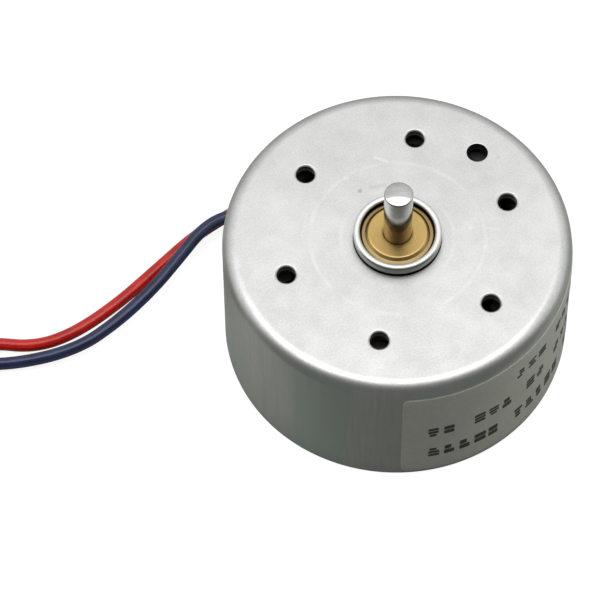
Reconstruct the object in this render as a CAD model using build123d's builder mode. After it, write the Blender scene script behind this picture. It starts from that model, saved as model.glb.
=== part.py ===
"""Flat brushed permanent-magnet DC motor with two soldered leads.

Frame, in millimetres: the origin is the centre of the screw-hole circle on the
front face, +Z points out along the shaft, +X passes through a screw hole. The
motor stands on its rear rim, at z = -12.
"""

import math
import os
from build123d import *

os.makedirs("parts", exist_ok=True)

# ---------------------------------------------------------------- dimensions
can_r = 12.2            # outside radius of the drawn can
can_wall = 0.8          # sheet thickness, wall and face
can_h = 12.0            # front face to rear rim
can_edge_r = 1.05       # rounded front edge
collar_r = 3.075        # pilot boss drawn up around the bearing
collar_h = 0.95
collar_bore_r = 2.5
screw_pcd = 16.5        # six M1.7 tapped holes
screw_r = 0.67          # their core wall
screw_count = 6
jig_hole_r = 0.75       # one plain hole, between two screw holes
jig_hole_at = 9.0       # its distance from the axis
jig_hole_deg = 30.0

shaft_r = 1.0
shaft_rim = 5.8         # height of the tip's edge above the front face
shaft_dome_r = 3.0      # the tip is slightly domed
shaft_end = -11.47
shaft_round = 0.06
groove_z = (0.04, 0.79)  # oil groove just under the bush's mouth
groove_r = 0.8
bush_bore_r = 1.02      # running clearance 0.02
bush_top = 0.78
bush_land_r = 2.04      # flat end face of the bush, with a lower step round it
bush_step = 0.2

magnet_in_r, magnet_out_r = 8.9, 11.38
magnet_z = (-9.0, -1.5)

core_r = 8.6            # air gap 0.3
core_z = (-6.1, -3.1)
sheet_t = 0.5
sheet_film = 0.02
insulator_t = 0.15
slot_w = 2.2            # opening between two pole shoes
neck_w = 2.6
shoe_in_r = 7.5
core_hub_r = 3.2
coil_in, coil_out = 3.5, 6.7     # radial stretch that a winding fills
coil_w, coil_h = 5.8, 6.2
window_w, window_h = 2.64, 3.34

hub_r = 1.57            # commutator
segment_r = 1.95
segment_z = (-9.5, -7.75)
brush_gap = 0.04

end_cap_z = (-11.5, -10.3)
terminal_deg = 114.0    # direction of the terminal block
terminal_x = 1.45       # each tab's distance from the block's middle line
tab_z = (-10.8, -10.5)
tab_tip = 13.1
notch_w, notch_top = 6.6, -9.25
block_w = 6.4

label_t = 0.08
label_z = (-11.55, -1.35)
label_from, label_to = -109.5, 32.0

lead_d = 0.9
lead_len = 140.0        # each lead, from its tab to its stripped end

TX = math.cos(math.radians(terminal_deg - 90))
TY = math.sin(math.radians(terminal_deg - 90))


def flat(z):
    """Horizontal plane at height z, its +Y along the terminal block."""
    return Plane(origin=(0, 0, z), x_dir=(TX, TY, 0), z_dir=(0, 0, 1))


def save(builder, name):
    builder.part.label = name
    export_step(builder.part, f"parts/{name}.step")


# ---------------------------------------------------------------- motor can
with BuildPart() as motor_can:
    with BuildSketch(Plane.XZ) as cup_profile:
        with BuildLine():
            Polyline(
                (collar_bore_r, -can_wall),
                (can_r - can_wall, -can_wall),
                (can_r - can_wall, -can_h),
                (can_r, -can_h),
                (can_r, 0),
                (collar_r, 0),
                (collar_r, collar_h),
                (collar_bore_r, collar_h),
                close=True,
            )
        make_face()
        corners = cup_profile.vertices()
        fillet(
            corners.filter_by(lambda v: abs(v.X - can_r) < 0.01 and abs(v.Y) < 0.01),
            can_edge_r,
        )
        fillet(
            corners.filter_by(
                lambda v: abs(v.X - can_r + can_wall) < 0.01
                and abs(v.Y + can_wall) < 0.01
            ),
            0.3,
        )
        fillet(
            corners.filter_by(lambda v: abs(v.X - collar_r) < 0.01 and abs(v.Y) < 0.01),
            0.12,
        )
        fillet(
            corners.filter_by(
                lambda v: abs(v.X - collar_r) < 0.01 and abs(v.Y - collar_h) < 0.01
            ),
            0.1,
        )
        chamfer(
            corners.filter_by(
                lambda v: abs(v.X - collar_bore_r) < 0.01
                and abs(v.Y - collar_h) < 0.01
            ),
            0.2,
        )
        chamfer(
            corners.filter_by(
                lambda v: abs(v.X - can_r) < 0.01 and abs(v.Y + can_h) < 0.01
            ),
            0.12,
        )
    revolve(axis=Axis.Z)
    # tapped screw holes, broken at the mouth
    with BuildSketch(Plane.XY):
        with PolarLocations(screw_pcd / 2, screw_count):
            Circle(screw_r)
    extrude(amount=-can_wall - 0.1, mode=Mode.SUBTRACT)
    mouths = (
        motor_can.edges()
        .filter_by(GeomType.CIRCLE)
        .filter_by(lambda e: abs(e.radius - screw_r) < 0.01 and abs(e.center().Z) < 0.01)
    )
    chamfer(mouths, 0.1)
    with BuildSketch(Plane.XY):
        with PolarLocations(jig_hole_at, 1, start_angle=jig_hole_deg):
            Circle(jig_hole_r)
    extrude(amount=-can_wall - 0.1, mode=Mode.SUBTRACT)
    # notch in the rear rim for the terminal block
    with BuildSketch(flat(-can_h)):
        with Locations((0, can_r - 1.0)):
            Rectangle(notch_w, 4.0)
    extrude(amount=can_h + notch_top, mode=Mode.SUBTRACT)
    # four lugs staked inward over the end cap
    with BuildSketch(Plane.XY.offset(-can_h + 0.02)):
        with PolarLocations(can_r - can_wall - 0.25, 4, start_angle=terminal_deg + 45):
            Rectangle(0.9, 1.9)
    extrude(amount=0.46)
save(motor_can, "motor_can")

# ---------------------------------------------------------------- bearings
with BuildPart() as front_bush:
    with BuildSketch(Plane.XZ) as bush_profile:
        with BuildLine():
            Polyline(
                (bush_bore_r, bush_top - 0.12),
                (bush_bore_r + 0.12, bush_top),
                (bush_land_r, bush_top),
                (bush_land_r + 0.18, bush_top - bush_step),
                (collar_bore_r, bush_top - bush_step),
                (collar_bore_r, -can_wall),
                (3.4, -can_wall),
                (3.4, -1.3),
                (2.4, -1.3),
                (2.2, -1.6),
                (bush_bore_r + 0.12, -1.6),
                (bush_bore_r, -1.48),
                close=True,
            )
        make_face()
    revolve(axis=Axis.Z)
save(front_bush, "front_bush")

with BuildPart() as rear_bush:
    with BuildSketch(Plane.XZ):
        with BuildLine():
            Polyline(
                (bush_bore_r, -9.97),
                (bush_bore_r + 0.12, -9.85),
                (1.9, -9.85),
                (2.1, -10.05),
                (2.1, -11.3),
                (1.95, -11.45),
                (bush_bore_r + 0.12, -11.45),
                (bush_bore_r, -11.33),
                close=True,
            )
        make_face()
    revolve(axis=Axis.Z)
save(rear_bush, "rear_bush")

with BuildPart() as thrust_plate:
    with BuildSketch(Plane.XY.offset(-11.7)):
        Circle(1.95)
    extrude(amount=0.2)
save(thrust_plate, "thrust_plate")

# ---------------------------------------------------------------- ring magnet
with BuildPart() as ring_magnet:
    with BuildSketch(Plane.XY.offset(magnet_z[0])):
        Circle(magnet_out_r)
        Circle(magnet_in_r, mode=Mode.SUBTRACT)
        # pole-marking groove in the outer wall
        with PolarLocations(magnet_out_r, 1, start_angle=terminal_deg):
            Rectangle(0.8, 1.2, mode=Mode.SUBTRACT)
    extrude(amount=magnet_z[1] - magnet_z[0])
    rims = (
        ring_magnet.edges()
        .filter_by(GeomType.CIRCLE)
        .filter_by(lambda e: abs(e.radius - magnet_in_r) < 0.01)
    )
    chamfer(rims, 0.3)
save(ring_magnet, "ring_magnet")

# ---------------------------------------------------------------- end cap
with BuildPart() as end_cap:
    with BuildSketch(Plane.XY.offset(end_cap_z[0])):
        Circle(can_r - can_wall - 0.02)
    extrude(amount=end_cap_z[1] - end_cap_z[0])
    # bearing seat, raised inside and slightly proud behind
    with BuildSketch(Plane.XY.offset(-11.9)):
        Circle(4.0)
    extrude(amount=0.5)
    with BuildSketch(Plane.XY.offset(-10.4)):
        Circle(3.2)
    extrude(amount=0.45)
    # terminal block, through the notch in the can
    with BuildSketch(flat(end_cap_z[0])):
        with Locations((0, (7.4 + 12.35) / 2)):
            Rectangle(block_w, 12.35 - 7.4)
    extrude(amount=-9.3 - end_cap_z[0])
    with BuildSketch(flat(tab_z[1])):
        with Locations((0, 8.0)):
            Rectangle(block_w + 0.2, 1.5)
    extrude(amount=2.0, mode=Mode.SUBTRACT)
    with BuildSketch(flat(tab_z[0])):
        with Locations((terminal_x, 10.5), (-terminal_x, 10.5)):
            Rectangle(1.1, 6.4)
        with Locations((2.0, 8.0), (-2.0, 8.0)):
            Rectangle(1.7, 1.2)
    extrude(amount=tab_z[1] - tab_z[0], mode=Mode.SUBTRACT)
    # seat of the rear bush and of the thrust plate under it
    with BuildSketch(Plane.XY.offset(-11.5)):
        Circle(2.1)
    extrude(amount=2.0, mode=Mode.SUBTRACT)
    with BuildSketch(Plane.XY.offset(-11.7)):
        Circle(1.95)
    extrude(amount=0.2, mode=Mode.SUBTRACT)
    # shallow moulded pockets in the rear face, where the lugs hold it clear
    with BuildSketch(Plane.XY.offset(end_cap_z[0])):
        with PolarLocations(7.6, 3, start_angle=terminal_deg + 90, angular_range=270):
            SlotOverall(4.0, 1.4, rotation=90)
    extrude(amount=0.4, mode=Mode.SUBTRACT)
save(end_cap, "end_cap")

# ---------------------------------------------------------------- terminals and brushes
for side, sign in (("positive", 1), ("negative", -1)):
    with BuildPart() as terminal:
        with BuildSketch(flat(tab_z[0])):
            with Locations((sign * terminal_x, (7.4 + tab_tip) / 2)):
                Rectangle(1.1, tab_tip - 7.4)
            with Locations((sign * 2.0, 8.0)):
                Rectangle(1.7, 1.2)
        extrude(amount=tab_z[1] - tab_z[0])
        tip_edges = terminal.edges().filter_by(Axis.Z)
        outer = tip_edges.filter_by(
            lambda e: (e.center().X * -TY + e.center().Y * TX) > tab_tip - 0.05
        )
        fillet(outer, 0.25)
    save(terminal, f"{side}_terminal")

    arm_x = segment_r + brush_gap + 0.075
    with BuildPart() as brush:
        # fork: two fingers that touch the commutator, one behind the other
        with BuildSketch(flat(-9.45)):
            with BuildLine():
                Polyline(
                    (sign * (arm_x - 0.075), 8.4),
                    (sign * (arm_x - 0.075), -1.0),
                    (sign * (arm_x + 0.185), -2.2),
                    (sign * (arm_x + 0.335), -2.16),
                    (sign * (arm_x + 0.075), -0.98),
                    (sign * (arm_x + 0.075), 8.4),
                    close=True,
                )
            make_face()
        extrude(amount=0.9)
        with BuildSketch(flat(-9.08)):
            with Locations((sign * arm_x, 0.0)):
                Rectangle(1.4, 5.4)
        extrude(amount=0.16, mode=Mode.SUBTRACT)
        # foot that stands on the terminal
        with BuildSketch(flat(tab_z[1])):
            with Locations((sign * arm_x, 7.9)):
                Rectangle(0.15, 1.0)
        extrude(amount=1.2)
    save(brush, f"{side}_brush")

    with BuildPart() as damper:
        with BuildSketch(flat(-9.4)):
            with Locations((sign * (arm_x + 0.075 + 0.35), 3.9)):
                Rectangle(0.7, 1.8)
        extrude(amount=0.8)
        fillet(damper.edges().filter_by(Axis.Z), 0.12)
    save(damper, f"{side}_brush_damper")

    with BuildPart() as joint:
        # solder over the tab and over the first of the lead's strands
        with BuildSketch(flat(tab_z[1])):
            with Locations((sign * terminal_x, 12.92)):
                Ellipse(0.46, 0.5)
        extrude(amount=0.42, taper=32)
    save(joint, f"{side}_solder_joint")

# ---------------------------------------------------------------- label
with BuildPart() as rating_label:
    with BuildSketch(Plane.XY.offset(label_z[0])):
        Circle(can_r + 0.01 + label_t)
        Circle(can_r + 0.01, mode=Mode.SUBTRACT)
        with BuildLine():
            far = 30.0
            mid = math.radians((label_from + label_to) / 2)
            half = math.radians((label_to - label_from) / 2)
            Polyline(
                (0, 0),
                (far * math.cos(mid - half), far * math.sin(mid - half)),
                (far * math.cos(mid - half / 2), far * math.sin(mid - half / 2)),
                (far * math.cos(mid), far * math.sin(mid)),
                (far * math.cos(mid + half / 2), far * math.sin(mid + half / 2)),
                (far * math.cos(mid + half), far * math.sin(mid + half)),
                close=True,
            )
        make_face(mode=Mode.INTERSECT)
    extrude(amount=label_z[1] - label_z[0])
save(rating_label, "rating_label")

# ---------------------------------------------------------------- rotor
dome_top = shaft_rim + shaft_dome_r - math.sqrt(shaft_dome_r**2 - shaft_r**2)
with BuildPart() as shaft:
    with BuildSketch(Plane.XZ):
        with BuildLine():
            Polyline(
                (0, shaft_end),
                (shaft_r - 0.3, shaft_end),
                (shaft_r, shaft_end + 0.3),
                (shaft_r, groove_z[0]),
                (groove_r, groove_z[0]),
                (groove_r, groove_z[1]),
                (shaft_r, groove_z[1]),
                (shaft_r, shaft_rim),
            )
            Line((0, shaft_end), (0, dome_top))
            ThreePointArc(
                (0, dome_top),
                (0.5, dome_top - shaft_dome_r + math.sqrt(shaft_dome_r**2 - 0.25)),
                (shaft_r, shaft_rim),
            )
        make_face()
    revolve(axis=Axis.Z)
    fillet(
        shaft.edges()
        .filter_by(GeomType.CIRCLE)
        .filter_by(lambda e: abs(e.center().Z - shaft_rim) < 0.01),
        shaft_round,
    )
save(shaft, "shaft")

with BuildSketch() as pole_outline:
    Circle(core_r)
    Circle(shoe_in_r, mode=Mode.SUBTRACT)
    with PolarLocations(core_r - 0.5, 3, start_angle=60):
        Rectangle(3.0, slot_w, mode=Mode.SUBTRACT)
    with PolarLocations((shoe_in_r + 0.2) / 2, 3):
        Rectangle(shoe_in_r + 0.2, neck_w)
    Circle(core_hub_r)
    Circle(shaft_r, mode=Mode.SUBTRACT)

with BuildPart() as core_laminations:
    for i in range(6):
        with BuildSketch(Plane.XY.offset(core_z[0] + i * sheet_t)):
            add(pole_outline.sketch)
        extrude(amount=sheet_t - sheet_film)
save(core_laminations, "core_laminations")

for name, z in (
    ("front_core_insulator", core_z[1]),
    ("rear_core_insulator", core_z[0] - insulator_t - 0.01),
):
    with BuildPart() as insulator:
        with BuildSketch(Plane.XY.offset(z)):
            add(pole_outline.sketch)
        extrude(amount=insulator_t)
    save(insulator, name)

for i, letter in enumerate("abc"):
    a = math.radians(120 * i)
    mid_z = (core_z[0] + core_z[1]) / 2
    neck_plane = Plane(
        origin=(coil_in * math.cos(a), coil_in * math.sin(a), mid_z),
        x_dir=(-math.sin(a), math.cos(a), 0),
        z_dir=(math.cos(a), math.sin(a), 0),
    )
    with BuildPart() as coil:
        with BuildSketch(neck_plane):
            RectangleRounded(coil_w, coil_h, 1.3)
            RectangleRounded(window_w, window_h, 0.05, mode=Mode.SUBTRACT)
        extrude(amount=coil_out - coil_in)
        round_over = coil.edges().filter_by(
            lambda e: e.length > 0.5
            and abs(
                abs(
                    e.center().X * math.cos(a)
                    + e.center().Y * math.sin(a)
                    - (coil_in + coil_out) / 2
                )
                - (coil_out - coil_in) / 2
            )
            < 0.01
            and (
                abs(e.center().Z - mid_z) > coil_h / 2 - 0.6
                or abs(-e.center().X * math.sin(a) + e.center().Y * math.cos(a))
                > coil_w / 2 - 0.6
            )
        )
        fillet(round_over, 0.35)
    save(coil, f"coil_{letter}")

with BuildPart() as commutator_hub:
    with BuildSketch(Plane.XY.offset(-9.6)):
        Circle(hub_r)
        Circle(shaft_r, mode=Mode.SUBTRACT)
    extrude(amount=3.3)
    # collar between the winding ends and the risers
    with BuildSketch(Plane.XY.offset(-7.7)):
        Circle(2.6)
        Circle(shaft_r, mode=Mode.SUBTRACT)
    extrude(amount=1.0)
save(commutator_hub, "commutator_hub")

with BuildPart() as commutator_segments:
    with BuildSketch(Plane.XY.offset(segment_z[0])):
        Circle(segment_r)
        Circle(hub_r, mode=Mode.SUBTRACT)
        with PolarLocations(1.75, 3):
            Rectangle(0.8, 0.3, mode=Mode.SUBTRACT)
    extrude(amount=segment_z[1] - segment_z[0])
    # riser tab of each segment
    with BuildSketch(Plane.XY.offset(segment_z[1] - 0.15)):
        with PolarLocations((1.8 + 3.35) / 2, 3, start_angle=60):
            Rectangle(3.35 - 1.8, 1.0)
    extrude(amount=0.15)
save(commutator_segments, "commutator_segments")

with BuildPart() as varistor_disc:
    with BuildSketch(Plane.XY.offset(-8.38)):
        Circle(3.5)
        Circle(2.15, mode=Mode.SUBTRACT)
    extrude(amount=0.45)
    fillet(varistor_disc.edges().filter_by(GeomType.CIRCLE), 0.06)
save(varistor_disc, "varistor_disc")

with BuildPart() as varistor_solder:
    with BuildSketch(Plane.XY.offset(-8.3)):
        with PolarLocations(3.5, 3, start_angle=60):
            RectangleRounded(0.6, 0.9, 0.2)
    extrude(amount=0.52)
save(varistor_solder, "varistor_solder")

for name, z, height, inner, outer_r in (
    ("shaft_spacer", -2.9, 1.03, shaft_r, 1.7),
    ("front_thrust_washer", -1.85, 0.2, shaft_r + 0.02, 2.3),
    ("rear_thrust_washer", -9.8, 0.18, shaft_r + 0.02, 1.9),
):
    with BuildPart() as ring:
        with BuildSketch(Plane.XY.offset(z)):
            Circle(outer_r)
            Circle(inner, mode=Mode.SUBTRACT)
        extrude(amount=height)
    save(ring, name)

# ---------------------------------------------------------------- leads
# Each lead leaves its tab, turns back along the can, lies on the surface the
# motor stands on (z = -12) and goes into a small put-away coil beside it.
blue_route = [
    (-6.71, 11.51, -10.35),
    (-8.59, 11.81, -10.37),
    (-10.66, 11.36, -10.39),
    (-12.83, 9.95, -10.57),
    (-15.48, 8.32, -10.79),
    (-18.74, 6.77, -11.02),
    (-22.29, 5.73, -11.17),
    (-27.03, 6.36, -11.47),
    (-31.31, 8.17, -11.55),
    (-34.99, 9.48, -11.55),
]
red_route = [
    (-4.07, 12.70, -10.35),
    (-7.35, 12.69, -11.30),
    (-10.95, 11.92, -11.55),
    (-14.37, 10.00, -11.55),
    (-18.31, 8.29, -11.55),
    (-22.08, 7.12, -11.55),
    (-25.01, 7.13, -11.55),
    (-27.70, 8.51, -11.55),
    (-30.30, 9.18, -11.55),
    (-32.79, 9.94, -11.55),
]
blue_tail = [
    (-40.63, 21.75, -8.90),
    (-39.68, 24.59, -9.75),
    (-38.37, 27.42, -11.15),
    (-36.80, 29.93, -11.55),
]
red_tail = [
    (-38.88, 23.02, -8.90),
    (-37.77, 25.59, -10.00),
    (-36.45, 27.99, -11.30),
    (-34.92, 30.40, -11.55),
]
coil_centre = (-34.88, 16.96)
coil_ring = (5.25, 7.65)    # inner and outer radius of the wound coil
coil_z = (-12.0, -8.2)
tip_r, tip_len = 0.32, 3.0


def arc_radii(name, points):
    """Radius at each corner of a route: as large as its two runs allow."""
    radii = []
    for a, b, c in zip(points, points[1:], points[2:]):
        u = Vector(*b) - Vector(*a)
        v = Vector(*c) - Vector(*b)
        turn = u.get_angle(v)
        radii.append(0.45 * min(u.length, v.length) / math.tan(math.radians(turn / 2)))
    print(name, "corner radii, mm:", [round(r, 1) for r in radii])
    return radii


for name, points in (
    ("blue_lead", blue_route),
    ("red_lead", red_route),
    ("blue_lead_tail", blue_tail),
    ("red_lead_tail", red_tail),
):
    with BuildPart() as lead:
        with BuildLine() as centre:
            FilletPolyline(*points, radius=arc_radii(name, points))
        with BuildSketch(Plane(origin=centre.line @ 0, z_dir=centre.line % 0)):
            Circle(lead_d / 2)
        sweep()
    run = sum(e.length for e in centre.edges())
    print(
        name, "length", round(run, 2), "volume / (section x length)",
        round(lead.part.volume / (math.pi * lead_d**2 / 4 * run), 4),
    )
    save(lead, name)

with BuildPart() as lead_coil:
    with BuildSketch(Plane(origin=(*coil_centre, coil_z[0]))):
        Circle(coil_ring[1])
        Circle(coil_ring[0], mode=Mode.SUBTRACT)
    extrude(amount=coil_z[1] - coil_z[0])
    fillet(lead_coil.edges().filter_by(GeomType.CIRCLE), 0.5)
save(lead_coil, "lead_coil")

for name, points in (("blue_lead_tip", blue_tail), ("red_lead_tip", red_tail)):
    end = Vector(*points[-1])
    along = end - Vector(*points[-2])
    along = Vector(along.X, along.Y, -along.length * 0.05).normalized()
    with BuildPart() as tip:
        with BuildSketch(Plane(origin=end, z_dir=along)):
            Circle(tip_r)
        extrude(amount=tip_len)
        far_face = tip.faces().sort_by(lambda f: (f.center() - end).length)[-1]
        fillet(far_face.edges(), 0.12)
    save(tip, name)
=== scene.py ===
"""Visual model of the flat brushed DC motor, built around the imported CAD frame.

All points below are in millimetres of the shared frame and are multiplied by MM.
The camera and the cords come first, then the pieces, the materials and the studio.
"""

import math
import random

import bmesh
import bpy
import numpy as np
from mathutils import Matrix, Vector, geometry, noise


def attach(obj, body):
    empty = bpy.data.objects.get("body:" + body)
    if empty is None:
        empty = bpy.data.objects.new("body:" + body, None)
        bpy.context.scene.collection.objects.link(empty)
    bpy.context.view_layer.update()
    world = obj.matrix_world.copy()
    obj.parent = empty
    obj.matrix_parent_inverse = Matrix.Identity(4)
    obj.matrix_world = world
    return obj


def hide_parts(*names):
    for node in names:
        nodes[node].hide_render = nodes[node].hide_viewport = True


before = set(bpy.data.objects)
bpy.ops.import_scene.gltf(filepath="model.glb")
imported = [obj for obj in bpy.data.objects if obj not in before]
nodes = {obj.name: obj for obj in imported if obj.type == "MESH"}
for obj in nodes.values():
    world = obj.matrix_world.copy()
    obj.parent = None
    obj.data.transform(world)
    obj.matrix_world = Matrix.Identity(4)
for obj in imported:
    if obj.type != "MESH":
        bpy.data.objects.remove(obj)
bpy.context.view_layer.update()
scene = bpy.context.scene
MM = 0.001
TURN = -20.3            # the camera's side of the motor, degrees about +Z
cos, sin, rad = math.cos, math.sin, math.radians

# ------------------------------------------------------------------ camera
elevation, roll = rad(60.129), rad(-0.488)
spin = Matrix.Rotation(rad(TURN), 3, "Z")
forward = Vector((0, cos(elevation), -sin(elevation)))
side = Vector((1, 0, 0))
rise = side.cross(forward)
side, rise = cos(roll) * side + sin(roll) * rise, -sin(roll) * side + cos(roll) * rise
camera_data = bpy.data.cameras.new("camera")
camera_data.sensor_width = 36.0
camera_data.lens = 241.752
camera_data.clip_start, camera_data.clip_end = 0.01, 20.0
camera = bpy.data.objects.new("camera", camera_data)
scene.collection.objects.link(camera)
axes = spin @ Matrix((side, rise, -forward)).transposed()
camera.matrix_world = (
    Matrix.Translation(spin @ Vector((-6.80346, -143.11598, 240.61753)) * MM)
    @ axes.to_4x4()
)
scene.camera = camera
AWAY = spin @ Vector((0, 1, 0))     # level direction from the camera to the motor
RIGHT = spin @ Vector((1, 0, 0))


# ------------------------------------------------------------------ material kit
class Mat:
    """A principled material whose colour, roughness and bump come from its nodes."""

    def __init__(self, name, metallic=0.0, **fixed):
        self.m = bpy.data.materials.new(name)
        self.m.use_nodes = True
        self.t = self.m.node_tree
        self.b = self.t.nodes["Principled BSDF"]
        self.b.inputs["Metallic"].default_value = metallic
        for key, value in fixed.items():
            self.b.inputs[key.replace("_", " ")].default_value = value
        self.p = self.node("ShaderNodeTexCoord").outputs["Object"]
        split = self.node("ShaderNodeSeparateXYZ")
        self.link(self.p, split.inputs[0])
        self.x, self.y, self.z = split.outputs
        self._r = None

    def node(self, kind, **attributes):
        n = self.t.nodes.new(kind)
        for key, value in attributes.items():
            setattr(n, key, value)
        return n

    def link(self, a, b):
        self.t.links.new(a, b)

    def put(self, socket, value):
        if isinstance(value, bpy.types.NodeSocket):
            self.link(value, socket)
        else:
            socket.default_value = value

    def math(self, op, a, b=None, c=None, clamp=False):
        n = self.node("ShaderNodeMath", operation=op, use_clamp=clamp)
        for socket, value in zip(n.inputs, (a, b, c)):
            if value is not None:
                self.put(socket, value)
        return n.outputs[0]

    def vec(self, x, y, z):
        n = self.node("ShaderNodeCombineXYZ")
        for socket, value in zip(n.inputs, (x, y, z)):
            self.put(socket, value)
        return n.outputs[0]

    @property
    def r(self):
        """Distance from the motor's axis, metres."""
        if self._r is None:
            xx = self.math("MULTIPLY", self.x, self.x)
            yy = self.math("MULTIPLY", self.y, self.y)
            self._r = self.math("SQRT", self.math("ADD", xx, yy))
        return self._r

    def noise(self, scale, detail=2.0, rough=0.5, vector=None, distortion=0.0):
        n = self.node("ShaderNodeTexNoise")
        self.link(vector or self.p, n.inputs["Vector"])
        n.inputs["Scale"].default_value = scale
        n.inputs["Detail"].default_value = detail
        n.inputs["Roughness"].default_value = rough
        n.inputs["Distortion"].default_value = distortion
        return n.outputs[0]

    def step(self, value, low, high, to_low=0.0, to_high=1.0):
        """Smooth step of value from low to high."""
        n = self.node("ShaderNodeMapRange", interpolation_type="SMOOTHSTEP")
        self.put(n.inputs["Value"], value)
        n.inputs["From Min"].default_value = low
        n.inputs["From Max"].default_value = high
        n.inputs["To Min"].default_value = to_low
        n.inputs["To Max"].default_value = to_high
        return n.outputs[0]

    def line(self, value, low, high, to_low=0.0, to_high=1.0):
        n = self.node("ShaderNodeMapRange", interpolation_type="LINEAR", clamp=True)
        self.put(n.inputs["Value"], value)
        n.inputs["From Min"].default_value = low
        n.inputs["From Max"].default_value = high
        n.inputs["To Min"].default_value = to_low
        n.inputs["To Max"].default_value = to_high
        return n.outputs[0]

    def mix(self, fac, a, b):
        n = self.node("ShaderNodeMix", data_type="RGBA")
        self.put(n.inputs[0], fac)
        for socket, value in ((n.inputs[6], a), (n.inputs[7], b)):
            if isinstance(value, (tuple, list)):
                value = (*value, 1.0)
            self.put(socket, value)
        return n.outputs[2]

    def near(self, value, centre, width):
        """1 where value is at centre, falling to 0 at centre +- width."""
        d = self.math("ABSOLUTE", self.math("SUBTRACT", value, centre))
        return self.step(d, 0.0, width, 1.0, 0.0)

    def mark(self, a, b, width, top_only=True):
        """1 on a short straight mark from a to b on the front face, millimetres."""
        ax, ay, bx, by = (v * MM for v in (*a, *b))
        dx, dy = bx - ax, by - ay
        px, py = self.math("SUBTRACT", self.x, ax), self.math("SUBTRACT", self.y, ay)
        along = self.math(
            "DIVIDE",
            self.math("ADD", self.math("MULTIPLY", px, dx), self.math("MULTIPLY", py, dy)),
            dx * dx + dy * dy + 1e-12,
            clamp=True,
        )
        ex = self.math("SUBTRACT", px, self.math("MULTIPLY", along, dx))
        ey = self.math("SUBTRACT", py, self.math("MULTIPLY", along, dy))
        d = self.math(
            "SQRT",
            self.math("ADD", self.math("MULTIPLY", ex, ex), self.math("MULTIPLY", ey, ey)),
        )
        return self.step(d, width * MM * 0.3, width * MM, 1.0, 0.0)

    def bump(self, height, distance, strength=1.0, normal=None):
        n = self.node("ShaderNodeBump")
        n.inputs["Strength"].default_value = strength
        n.inputs["Distance"].default_value = distance
        self.link(height, n.inputs["Height"])
        if normal is not None:
            self.link(normal, n.inputs["Normal"])
        return n.outputs[0]

    def finish(self, colour=None, roughness=None, normal=None):
        if colour is not None:
            self.put(
                self.b.inputs["Base Color"],
                (*colour, 1.0) if isinstance(colour, (tuple, list)) else colour,
            )
        if roughness is not None:
            self.put(self.b.inputs["Roughness"], roughness)
        if normal is not None:
            self.link(normal, self.b.inputs["Normal"])
        return self.m


def grained(name, dark, light, metallic, rough, scale, depth=0.00001, detail=3.0, **fixed):
    """A material with two tones mixed by a grain, uneven roughness and a fine bump."""
    k = Mat(name, metallic, **fixed)
    grain = k.noise(scale, detail, 0.6)
    patches = k.noise(scale * 0.12, 2.0, 0.5)
    tone = k.line(k.math("ADD", k.math("MULTIPLY", grain, 0.6), k.math("MULTIPLY", patches, 0.4)), 0.3, 0.7)
    roughness = k.line(patches, 0.3, 0.7, rough[0], rough[1])
    return k.finish(k.mix(tone, dark, light), roughness, k.bump(grain, depth, 0.6))


# ------------------------------------------------------------------ cords
def insulation(name, deep, bright, rough):
    k = Mat(name, 0.0, IOR=1.42, Coat_Weight=0.25, Coat_Roughness=0.08)
    mottle = k.noise(900, 3.0, 0.55)
    fine = k.noise(14000, 2.0, 0.6)
    scuff = k.step(k.noise(2600, 4.0, 0.7, distortion=0.6), 0.60, 0.72)
    colour = k.mix(k.line(mottle, 0.35, 0.65), deep, bright)
    roughness = k.math("ADD", k.line(mottle, 0.3, 0.7, rough - 0.04, rough + 0.05), k.math("MULTIPLY", scuff, 0.12))
    height = k.math("ADD", k.math("MULTIPLY", mottle, 0.8), k.math("MULTIPLY", fine, 0.25))
    return k.finish(colour, roughness, k.bump(height, 0.00003, 0.35))


red_pvc = insulation("red_pvc", (0.46, 0.007, 0.003), (0.64, 0.014, 0.006), 0.20)
blue_pvc = insulation("blue_pvc", (0.012, 0.019, 0.060), (0.022, 0.032, 0.100), 0.20)

BLUE_ROUTE = [
    (-6.71, 11.51, -10.35),
    (-8.55, 11.91, -10.37),
    (-10.65, 11.38, -10.39),
    (-12.86, 9.89, -10.57),
    (-15.51, 8.21, -10.79),
    (-18.78, 6.67, -11.02),
    (-22.33, 5.62, -11.17),
    (-27.06, 6.28, -11.47),
    (-31.32, 8.13, -11.55),
    (-34.99, 9.48, -11.55),
]
RED_ROUTE = [
    (-4.07, 12.70, -10.35),
    (-7.39, 12.60, -11.30),
    (-11.00, 11.77, -11.55),
    (-14.30, 10.19, -11.55),
    (-18.31, 8.29, -11.55),
    (-22.08, 7.12, -11.55),
    (-25.01, 7.13, -11.55),
    (-27.70, 8.51, -11.55),
    (-30.30, 9.18, -11.55),
    (-32.79, 9.94, -11.55),
]
BLUE_TAIL = [
    (-40.63, 21.75, -8.90),
    (-39.68, 24.59, -9.75),
    (-38.37, 27.42, -11.15),
    (-36.80, 29.93, -11.55),
]
RED_TAIL = [
    (-38.88, 23.02, -8.90),
    (-37.77, 25.59, -10.00),
    (-36.45, 27.99, -11.30),
    (-34.92, 30.40, -11.55),
]
COIL_CENTRE = (-34.88, 16.96)


def coil_points(radius):
    """Control points of two and a quarter rising turns of the put-away coil."""
    stride = 25.3125
    out = []
    for k in range(32):
        a = rad(-90 + TURN - stride * (k + 0.5))
        reach = radius / cos(rad(stride / 2))
        out.append(
            (
                COIL_CENTRE[0] + reach * cos(a),
                COIL_CENTRE[1] + reach * sin(a),
                -11.55 + 1.2 * stride * (k + 0.5) / 360,
            )
        )
    return out


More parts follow.
